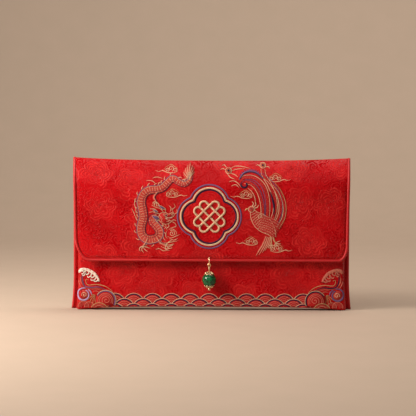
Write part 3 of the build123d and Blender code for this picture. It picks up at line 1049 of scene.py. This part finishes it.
def corner_wave(way, node):
    """A foaming crest over a curl, with a round swell that runs down to the border.

    Points are those of the left corner, which the right corner mirrors.
    """
    work = Embroidery(front_surface)
    middle_x = -0.45            # mirror line between the two corners

    def place(points):
        points = np.asarray(points, dtype=float)
        return points if way < 0 else np.stack([2 * middle_x - points[:, 0], points[:, 1]], axis=1)

    ink, pale = ("violet", "lilac") if way < 0 else ("navy", "violet")
    foam(work, place, "white" if way < 0 else "blush")
    stem = smooth([(-87.8, 25.6), (-88.4, 22.4), (-87.8, 18.6), (-86.2, 16.0),
                   (-82.0, 15.3), (-78.2, 15.7), (-74.6, 14.9), (-72.4, 13.7)])
    work.line(ink, place(stem), 0.8, 0.1, 0.22, (0.5, 0.4))
    work.line("salmon", place(beside(stem, -0.8)), 0.6, 0.06, 0.18, (0.5, 0.4))
    work.patch("coral", place(arc(-87.2, 10.4, 3.2, 0, 345)), 0.02, 0.1)
    work.line(pale, place(spiral(-87.4, 10.4, 4.6, 3.3, 72, 425)), 1.35, 0.1, 0.24, (0.6, 0.6))
    work.line(pale, place(smooth([(-84.4, 14.0), (-82.6, 12.4), (-82.0, 10.2)])), 1.0, 0.1, 0.2, (0.8, 0.4))
    work.line("cream", place(spiral(-87.0, 10.2, 2.0, 0.3, 200, -250)), 0.42, 0.08, 0.2)
    water_lines(work, place)
    corner_swell(work, place, ink)
    work.finish(node, node, on_pocket)


# Dragon, phoenix and clouds

def cloud(work, x, z, way):
    """Three curls over a line that trails to one side."""
    for reach, rise, r in ((0.0, 0.6, 1.9), (-2.8, -0.5, 1.5), (2.5, -0.4, 1.4)):
        start = 250 if way > 0 else -70
        curl = spiral(x + way * reach, z + rise, r, 0.35, start, start - way * 480)
        work.line("cream", curl, 0.42, 0.0, 0.2, (0.8, 0.6))
    brim = [(-4.4, -1.4), (-1.6, -2.4), (2.2, -2.2), (5.6, -0.9), (8.0, -1.5), (10.4, -0.9)]
    crown = [(-4.3, 0.6), (-2.4, 1.8), (0.0, 3.2), (2.8, 1.9), (4.6, 0.2)]
    for colour, points, width, height, taper in (
        ("cream", brim, 0.5, 0.2, (0.5, 0.3)), ("tan", crown, 0.36, 0.18, (0.4, 0.4)),
    ):
        work.line(colour, smooth([(x + way * a, z + b) for a, b in points]), width, 0.0, height, taper)


def clouds():
    """Separate clouds round the dragon and the phoenix."""
    work = Embroidery(flap_surface)
    for x, z, way in (
        (-27.8, 96.6, -1), (-26.6, 80.2, 1), (23.2, 79.6, -1),
        (43.4, 91.0, 1), (27.0, 47.8, -1), (44.6, 43.0, 1),
    ):
        cloud(work, x, z, way)
    work.finish("clouds", "cloud_embroidery", follow_flap)


def claw(work, wrist, heading, size):
    """Four hooked toes that spread from a wrist."""
    wrist = np.array(wrist)
    for toe in (-65, -22, 22, 65):
        way = math.radians(heading + toe)
        hook = math.radians(heading + toe * 0.4 + 35)
        knuckle = wrist + 0.55 * size * np.array((math.cos(way), math.sin(way)))
        tip = knuckle + 0.5 * size * np.array((math.cos(hook), math.sin(hook)))
        work.line("cream", smooth([wrist, knuckle, tip], 0.5), 0.5, 0.1, 0.2, (1.0, 0.2))


def scale_rows(work, path, widths, rows, low, high, count):
    """Staggered rows of small cups across a body, between two shares of its width."""
    turns = np.linspace(0, math.pi, 6)
    ways, sideways = directions(path), lefts(path)
    for row, n in enumerate(rows):
        way, left = ways[n], sideways[n]
        pitch = (high - low) * widths[n] / count
        for step in range(count - row % 2):
            middle = path[n] + left * (low * widths[n] + pitch * (step + 0.5 + 0.5 * (row % 2)))
            cup = [middle + 0.45 * pitch * (math.cos(a) * left + math.sin(a) * way) for a in turns]
            work.line("cream", cup, 0.24, 0.16, 0.14)


def flames(work, path, widths, side_of, colour, spacing, reach):
    """Short tongues along one side of a body."""
    ways, outwards = directions(path), side_of * lefts(path)
    for n in range(4, len(path) - 4, spacing):
        way, out = ways[n], outwards[n]
        root = path[n] + out * widths[n] / 2
        tongue = [root, root + reach * (out - 0.5 * way), root + reach * (1.4 * out - 2.0 * way)]
        work.line(colour, smooth(tongue, 0.5), 0.5, 0.05, 0.18, (1.0, 0.15))


def strands(work, colour, width, lines, taper, lift=0.08, height=0.2):
    """Several free lines of one thread."""
    for points in lines:
        work.line(colour, smooth(points), width, lift, height, taper)


def dragon_head(work):
    """The head in profile, facing the medallion, with open jaws, a mane, whiskers and a beard."""
    face = smooth([(-36.0, 63.6), (-35.4, 66.2), (-33.2, 67.4), (-30.8, 67.2), (-29.0, 66.2), (-27.0, 67.4),
                   (-25.4, 66.2), (-26.4, 64.4), (-29.0, 63.8), (-31.6, 63.6), (-29.6, 62.2), (-27.4, 61.6),
                   (-28.6, 60.2), (-31.2, 59.4), (-33.6, 60.0), (-35.4, 61.6)], 0.5)
    work.patch("rose", face, 0.0, 0.2)
    work.line("cream", np.vstack([face, face[:1]]), 0.32, 0.16, 0.16)
    work.line("cream", arc(-31.0, 65.5, 0.85, 0, 360, 0.3), 0.3, 0.18, 0.18)
    work.patch("navy", arc(-30.9, 65.5, 0.45, 0, 330, 0.2), 0.2, 0.2)
    work.line("cream", spiral(-26.6, 66.1, 0.8, 0.2, 60, 420), 0.28, 0.18, 0.18)
    for step in range(5):
        x, z = -30.8 + 0.9 * step, 63.9 + 0.12 * step
        work.line("white", smooth([(x, z), (x + 0.2, z - 1.0)], 0.4), 0.34, 0.14, 0.2, (1.0, 0.3))
    strands(work, "cream", 0.36, (
        [(-33.2, 65.0), (-32.2, 67.0), (-30.4, 67.0), (-29.4, 66.0)],
        [(-34.8, 64.6), (-33.6, 63.0), (-34.2, 61.4), (-32.4, 60.6)],
        [(-35.6, 65.4), (-34.4, 64.4), (-35.0, 62.8)],
        [(-30.8, 61.2), (-29.4, 61.2), (-28.2, 60.8)],
    ), (0.5, 0.3))
    strands(work, "cream", 0.4, (
        [(-25.8, 67.0), (-26.8, 69.4), (-24.8, 71.2), (-25.8, 73.8)],
        [(-29.0, 62.4), (-26.8, 61.2), (-24.6, 59.8), (-24.2, 58.0), (-26.4, 57.2), (-28.6, 56.6)],
        [(-29.6, 60.0), (-29.0, 58.0), (-30.6, 56.6), (-29.8, 55.0)],
        [(-40.8, 72.4), (-38.0, 71.0), (-35.2, 70.0), (-32.4, 67.8)],
        [(-25.4, 66.2), (-23.4, 67.6), (-23.8, 69.8)], [(-27.6, 61.6), (-25.6, 62.4), (-23.8, 61.6)],
        [(-28.2, 68.0), (-27.6, 70.4), (-29.2, 72.4)], [(-31.4, 59.4), (-31.0, 57.6), (-32.4, 56.2)],
        [(-33.2, 59.8), (-33.0, 58.0), (-34.2, 57.0)], [(-42.0, 69.8), (-39.0, 69.8), (-36.6, 68.0)],
        [(-42.4, 67.4), (-39.8, 67.8), (-37.2, 66.4)], [(-38.2, 66.0), (-36.6, 66.8), (-35.2, 66.4)],
        [(-33.0, 67.6), (-34.6, 70.6), (-37.0, 72.6)], [(-31.6, 67.6), (-31.4, 69.8), (-33.4, 71.4)],
    ), (0.6, 0.2))
    for tip, tail, width in (
        ((-36.6, 72.4), (-31.4, 69.4), 1.6),
        ((-40.2, 69.2), (-36.4, 67.6), 1.3),
        ((-40.6, 65.2), (-35.4, 62.6), 2.6),
    ):
        work.patch("violet", leaf(tip, tail, width), 0.1, 0.24)
        work.line("cream", np.vstack([leaf(tip, tail, width), [tail]]), 0.24, 0.3, 0.12)


def dragon_tail(work):
    """A leaf of flames at the end of the body."""
    outline = smooth([(-15.6, 89.4), (-18.6, 91.0), (-19.4, 94.4), (-17.4, 98.0), (-14.6, 101.0),
                      (-13.8, 98.8), (-12.6, 98.2), (-12.2, 94.6), (-13.2, 91.2)], 0.6)
    work.patch("coral", outline, 0.0, 0.16)
    for tip in (
        (-14.6, 101.2), (-12.8, 99.8), (-11.8, 97.4), (-11.8, 95.0),
        (-16.6, 99.6), (-18.2, 97.4), (-19.4, 94.8),
    ):
        work.line("cream", bowed((-15.0, 90.0), tip, (-0.5, 0.0)), 0.36, 0.12, 0.18, (0.6, 0.2))
    work.line("cream", spiral(-15.6, 93.6, 1.1, 0.2, 30, 420), 0.3, 0.16, 0.18)


def dragon():
    """A coiled scaly body with a flame tail, legs, claws and a head."""
    work = Embroidery(flap_surface)
    body = smooth([(-13.9, 92.4), (-15.2, 89.0), (-18.7, 86.7), (-22.5, 88.0), (-26.4, 90.4), (-29.6, 88.2),
                   (-33.0, 84.6), (-37.4, 83.0), (-42.4, 82.5), (-46.4, 79.5), (-47.9, 74.4), (-46.9, 68.6),
                   (-46.4, 64.2), (-47.6, 59.4), (-48.0, 55.0), (-46.6, 51.0), (-43.2, 48.9), (-39.2, 49.2),
                   (-36.0, 51.2), (-35.4, 54.6), (-37.6, 58.2), (-40.2, 61.0), (-39.8, 63.4),
                   (-36.8, 64.2)], 0.8)
    share = np.linspace(0, 1, len(body))
    widths = 2.2 + 3.9 * np.sin(0.72 * math.pi * share ** 0.7)
    work.line("coral", body, widths, 0.0, 0.2, across=6)
    for colour, spot, width, height in (
        ("navy", 0.5, 0.34, 0.18), ("violet", -0.5, 0.40, 0.18),
        ("navy", 0.22, 0.24, 0.16), ("cream", -0.40, 0.26, 0.16),
    ):
        work.line(colour, beside(body, spot * widths), width, 0.14, height)
    ribs = range(3, len(body) - 4, 2)
    scale_rows(work, body, widths, ribs, -0.36, 0.20, 3)
    belly = [beside(body, spot * widths) for spot in (0.27, 0.36, 0.45)]
    for n in ribs:
        work.line("cream", [line[n] for line in belly], 0.26, 0.14, 0.16)
    flames(work, body, widths, -1, "cream", 4, 1.1)
    dragon_tail(work)
    for leg, heading, size in (
        ([(-43.6, 49.6), (-45.2, 46.4), (-46.8, 44.4)], 280, 5.0),
        ([(-37.2, 50.4), (-34.8, 46.6), (-31.2, 45.4)], 335, 5.6),
        ([(-36.8, 81.6), (-39.2, 77.8), (-37.6, 74.6)], 250, 3.6),
    ):
        work.line("salmon", smooth(leg), 1.7, 0.02, 0.2, (1.0, 0.6), across=3)
        work.line("navy", beside(smooth(leg), 0.8), 0.3, 0.14, 0.16, (1.0, 0.5))
        work.line("cream", smooth(leg), 0.32, 0.16, 0.16)
        claw(work, leg[-1], heading, size)
    work.line("cream", spiral(-26.9, 53.2, 2.2, 0.4, 120, -420), 0.36, 0.08, 0.2)
    strands(work, "cream", 0.4, (
        [(-51.4, 77.4), (-52.4, 73.4), (-51.4, 69.6), (-51.8, 66.8)],
        [(-34.6, 46.6), (-30.6, 46.6), (-26.6, 47.4), (-22.6, 48.2)],
        [(-29.8, 51.2), (-27.4, 50.0), (-24.6, 51.2), (-21.2, 52.6)],
        [(-29.2, 56.0), (-26.0, 56.0), (-23.8, 53.6), (-24.6, 51.8)],
        [(-44.6, 89.0), (-40.8, 88.8), (-37.8, 86.8)], [(-40.4, 90.6), (-37.0, 91.4), (-33.4, 90.4)],
        [(-54.2, 69.8), (-52.4, 66.2), (-51.2, 62.0)], [(-33.2, 45.2), (-29.0, 44.2), (-25.2, 45.6)],
        [(-34.4, 44.2), (-30.4, 42.6), (-26.8, 43.4)], [(-36.6, 43.4), (-33.0, 41.4), (-30.0, 41.4)],
        [(-38.0, 42.2), (-35.4, 42.6), (-33.0, 41.0)], [(-28.6, 49.6), (-25.4, 48.6), (-22.8, 50.0)],
        [(-30.6, 54.6), (-31.2, 51.6), (-29.6, 49.2)], [(-32.4, 52.4), (-32.8, 50.0), (-31.0, 48.0)],
    ), (0.4, 0.2))
    dragon_head(work)
    work.finish("dragon", "dragon_embroidery", follow_flap)


def plume(work, points, width, edges):
    """A long feather: a soft vane between two edge threads, with slanting barbs."""
    spine = smooth(points, 0.7)
    work.line("rose", spine, width, 0.0, 0.16, (0.6, 0.5), across=4)
    for side_of, colour in zip((-1, 1), edges):
        work.line(colour, beside(spine, side_of * 0.45 * width), 0.45, 0.08, 0.2, (0.6, 0.5))
    ways, sideways = directions(spine), lefts(spine)
    for n in range(2, len(spine) - 2, 2):
        side_of = 1 if n % 4 else -1
        barb = [spine[n], spine[n] + 0.40 * width * side_of * sideways[n] - 0.8 * ways[n]]
        work.line("salmon", smooth(barb, 0.5), 0.3, 0.1, 0.14)


def feather_eye(work, x, z, r):
    """The round eye at the end of a plume."""
    work.patch("rose", arc(x, z, r, 0, 345), 0.02, 0.16)
    work.line("cream", arc(x, z, r, 0, 360), 0.42, 0.1, 0.2)
    work.line("tan", arc(x, z, 0.6 * r, 0, 360, 0.3), 0.3, 0.12, 0.18)
    work.patch("navy", arc(x, z, 0.34 * r, 0, 330, 0.2), 0.12, 0.22)


def phoenix_head(work):
    """A round head with an eye, a beak and a crest."""
    x, z, r = 27.0, 69.8, 2.0
    work.patch("salmon", arc(x, z, r, 0, 345), 0.05, 0.24)
    work.line("cream", arc(x, z, r, 0, 360), 0.4, 0.2, 0.18)
    work.patch("navy", arc(26.6, 70.2, 0.45, 0, 330, 0.2), 0.28, 0.16)
    work.line("tan", smooth([(25.2, 70.4), (23.4, 69.8), (22.6, 68.6)]), 0.9, 0.1, 0.22, (1.0, 0.2))
    strands(work, "cream", 0.6, (
        [(27.4, 71.6), (28.4, 73.6), (27.4, 75.2)],
        [(28.2, 71.2), (30.0, 72.8), (29.8, 74.8)],
        [(28.6, 70.4), (31.0, 71.2), (32.0, 73.0)],
    ), (1.0, 0.3))


def phoenix_wing(work):
    """Rows of long feathers behind a curl at the shoulder."""
    work.line("cream", spiral(33.2, 65.0, 1.7, 0.3, 250, -200), 0.4, 0.24, 0.2)
    for row in range(7):
        root = (33.4 - 0.1 * row, 65.4 - 1.6 * row)
        tip = (48.2 - 0.9 * row, 58.4 - 1.3 * row)
        feather = bowed(root, tip, (0.5, 0.9))
        work.line("rose", feather, 1.3, 0.16, 0.16, (0.5, 0.3), across=3)
        work.line("blush", beside(feather, 0.5), 0.34, 0.24, 0.16, (0.6, 0.3))
        work.line("salmon", beside(feather, -0.2), 0.24, 0.24, 0.14, (0.6, 0.3))


def phoenix_body(work):
    """The scaly breast, the feathers under it and two legs."""
    breast = smooth([(27.6, 69.0), (29.4, 65.6), (32.4, 62.4),
                     (36.6, 58.6), (40.6, 54.6), (42.6, 50.4)], 0.7)
    share = np.linspace(0, 1, len(breast))
    widths = 2.6 + 8.0 * np.sin(math.pi * share ** 0.9) ** 1.2
    work.line("rose", breast, widths, 0.0, 0.2, across=8)
    scale_rows(work, breast, widths, range(3, len(breast) - 3, 2), -0.45, 0.45, 6)
    for edge in (-0.5, 0.5):
        work.line("cream", beside(breast, edge * widths), 0.4, 0.12, 0.2)
    for n, tip in enumerate(((30.2, 38.0), (32.4, 38.8), (34.6, 40.2), (36.4, 41.6), (38.4, 43.4))):
        feather = bowed((37.2 + 0.9 * n, 51.4 - 0.3 * n), tip, (0.9, 0.6))
        work.line("coral", feather, 1.5, 0.0, 0.18, (0.7, 0.2), across=3)
        work.line("cream", feather, 0.4, 0.12, 0.18, (0.7, 0.2))
    for leg, heading in (
        ([(41.6, 52.0), (42.6, 48.6), (43.6, 47.0)], 320),
        ([(39.8, 51.0), (40.8, 47.4), (40.6, 45.6)], 280),
    ):
        work.line("tan", smooth(leg), 1.1, 0.06, 0.2, (1.0, 0.6))
        claw(work, leg[-1], heading, 3.6)


def phoenix():
    """A bird with long plumes that sweep up and over towards the medallion."""
    work = Embroidery(flap_surface)
    for edges, width, points in (
        (("violet", "cream"), 2.8,
         [(34.6, 64.6), (34.8, 70.4), (33.6, 77.0), (31.4, 82.6), (27.6, 87.0), (22.4, 88.6)]),
        (("cream", "violet"), 3.2,
         [(37.6, 63.4), (38.2, 71.0), (37.4, 79.0), (34.8, 86.0), (29.0, 90.8),
          (22.6, 91.2), (19.2, 88.6)]),
        (("cream", "cream"), 3.0,
         [(41.0, 61.6), (43.2, 69.4), (42.6, 78.0), (39.2, 86.6), (35.6, 92.6), (34.8, 97.0)]),
        (("violet", "cream"), 2.6,
         [(43.6, 59.6), (46.6, 67.0), (46.6, 75.4), (43.4, 83.4), (38.8, 89.4), (33.4, 93.2)]),
        (("tan", "cream"), 2.2,
         [(45.0, 57.0), (49.0, 64.6), (49.4, 73.2), (46.6, 81.2), (42.4, 86.8)]),
    ):
        plume(work, points, width, edges)
    crown = smooth([(18.6, 90.2), (21.6, 94.0), (26.0, 95.4), (30.8, 94.2), (35.0, 90.6)], 0.7)
    work.line("violet", crown, 1.5, 0.14, 0.22, (0.4, 0.4), across=3)
    work.line("navy", beside(crown, -0.4), 0.6, 0.34, 0.14, (0.4, 0.4))
    flames(work, crown, np.full(len(crown), 1.4), 1, "violet", 2, 0.5)
    streak = smooth([(39.6, 81.8), (41.4, 76.4), (42.4, 71.0), (42.2, 65.6)])
    work.line("navy", streak, 1.3, 0.30, 0.22, (0.2, 0.2))
    work.line("navy", spiral(22.3, 86.6, 2.7, 1.3, 150, 400), 1.2, 0.28, 0.24, (0.5, 0.8))
    feather_eye(work, 34.8, 99.4, 1.9)
    feather_eye(work, 11.4, 95.8, 2.0)
    strands(work, "cream", 0.48, (
        [(12.8, 97.4), (16.6, 98.8), (21.6, 98.4), (26.4, 97.2)],
        [(11.8, 88.4), (15.0, 89.0), (18.0, 87.2), (20.0, 84.6)],
        [(24.6, 84.2), (27.2, 81.8), (29.2, 78.0), (29.8, 73.0)],
        [(10.2, 97.8), (8.4, 99.6), (6.8, 99.2)], [(9.4, 96.4), (7.4, 97.2), (5.8, 96.4)],
        [(13.2, 95.6), (17.4, 96.8), (22.6, 97.2)], [(12.4, 94.2), (15.6, 93.2), (18.0, 91.4)],
        [(10.6, 93.8), (12.6, 91.4), (16.0, 90.0)], [(13.4, 85.6), (16.4, 86.4), (18.8, 84.2)],
        [(33.2, 98.4), (31.4, 99.8), (30.0, 99.0)], [(36.6, 98.2), (38.4, 98.6), (39.6, 97.2)],
    ), (0.5, 0.2), 0.05, 0.18)
    phoenix_head(work)
    phoenix_wing(work)
    phoenix_body(work)
    work.finish("phoenix", "phoenix_embroidery", follow_flap)


# Seams

def seam_stitches():
    """Small stitches inside the flap's piping and along the pocket's side edges."""
    length, pitch = 1.4, 2.1
    rim_inset = 1.5 * mm
    lowest, highest = 1.5, mouth_z / mm - 6
    flap = Embroidery(flap_surface)
    rim = flap_rim(-rim_inset) / mm
    run = lengths_along(rim)
    for start in np.arange(0.5, run[-1] - 2, pitch):
        spots = np.linspace(start, start + length, 4)
        stitch = np.stack([np.interp(spots, run, rim[:, 0]), np.interp(spots, run, rim[:, 1])], axis=1)
        flap.line("red", stitch, 0.4, 0.0, 0.16, (0.6, 0.6))
    flap.finish("flap_stitches", "flap_seam_thread", follow_flap)
    for name, way in (("left", -1), ("right", 1)):
        seam = Embroidery(front_surface)
        for z in np.arange(lowest, highest, pitch):
            x = way * (side(z * mm) - pocket_in - 0.5 * front_round) / mm
            stitch = [(x, z), (x, z + length / 2), (x, z + length)]
            seam.line("red", stitch, 0.4, 0.0, 0.16, (0.6, 0.6))
        seam.finish(f"{name}_stitches", f"{name}_seam_thread", on_pocket)


sheets()
piping()
inner_parts()
charm()
medallion()
wave_border()
corner_wave(-1, "left_corner_wave")
corner_wave(1, "right_corner_wave")
clouds()
dragon()
phoenix()
seam_stitches()


# Stage, light and camera

def stage():
    """A pale floor that sweeps up into a backdrop."""
    half_width, front, height, bend_r = 4.0, -3.0, 3.0, 0.5
    outline = [(y, 0.0) for y in np.linspace(front, bend_r, 8)]
    for a in np.linspace(0, math.pi / 2, 16)[1:]:
        outline.append((bend_r + bend_r * math.sin(a), bend_r - bend_r * math.cos(a)))
    outline += [(2 * bend_r, z) for z in np.linspace(bend_r, height, 6)[1:]]
    points = [(x, y, z) for y, z in outline for x in (-half_width, half_width)]
    faces = [(2 * n, 2 * n + 1, 2 * n + 3, 2 * n + 2) for n in range(len(outline) - 1)]
    paper = mottled("backdrop", (40.0, 5.0), (0.47, 0.365, 0.275, 1), (0.51, 0.39, 0.30, 1), (0.8, 0.8))
    mesh_object("backdrop", points, faces, paper, [(x, y) for x, y, z in points])


def area_light(name, place, aim, size, power, colour):
    """A soft rectangular light at a place, turned to a point."""
    data = bpy.data.lights.new(name, "AREA")
    data.shape = "RECTANGLE"
    data.size, data.size_y = size
    data.energy = power
    data.color = colour
    obj = bpy.data.objects.new(name, data)
    obj.location = place
    obj.rotation_mode = "QUATERNION"
    obj.rotation_quaternion = (Vector(aim) - Vector(place)).to_track_quat("-Z", "Y")
    bpy.context.collection.objects.link(obj)


def lights():
    """A warm key from the left in front, soft light from above and all round, and light on the backdrop."""
    world = bpy.data.worlds.new("studio")
    world.use_nodes = True
    bpy.context.scene.world = world
    back = world.node_tree.nodes["Background"]
    back.inputs["Color"].default_value = (1.0, 0.93, 0.84, 1)
    back.inputs["Strength"].default_value = 0.10
    middle = (0, 0, 0.08)
    warm, warmer = (1.0, 0.94, 0.88), (1.0, 0.93, 0.86)
    area_light("key", (-0.42, -0.20, 0.30), middle, (0.26, 0.26), 3.8, warmer)
    area_light("top", (-0.15, -0.56, 0.66), middle, (0.60, 0.14), 1.4, warm)
    area_light("backdrop", (0.3, 0.2, 1.3), (0.2, 1.0, 0.3), (0.80, 0.80), 12.0, warm)


def camera():
    """A long lens a little above the envelope, turned a little about its own axis as in the photo."""
    distance = 1.10
    pitch = math.radians(4.0)
    roll = math.radians(0.24)
    data = bpy.data.cameras.new("camera")
    data.sensor_width = 36
    data.lens = 139.4
    obj = bpy.data.objects.new("camera", data)
    aim = Vector((-0.0025, front_face, 0.0702))
    obj.location = aim + distance * Vector((0, -math.cos(pitch), math.sin(pitch)))
    obj.rotation_mode = "QUATERNION"
    upright = (aim - obj.location).to_track_quat("-Z", "Y")
    obj.rotation_quaternion = upright @ Quaternion((0, 0, 1), roll)
    bpy.context.collection.objects.link(obj)
    bpy.context.scene.camera = obj
    bpy.context.scene.view_settings.view_transform = "Standard"


stage()
lights()
camera()
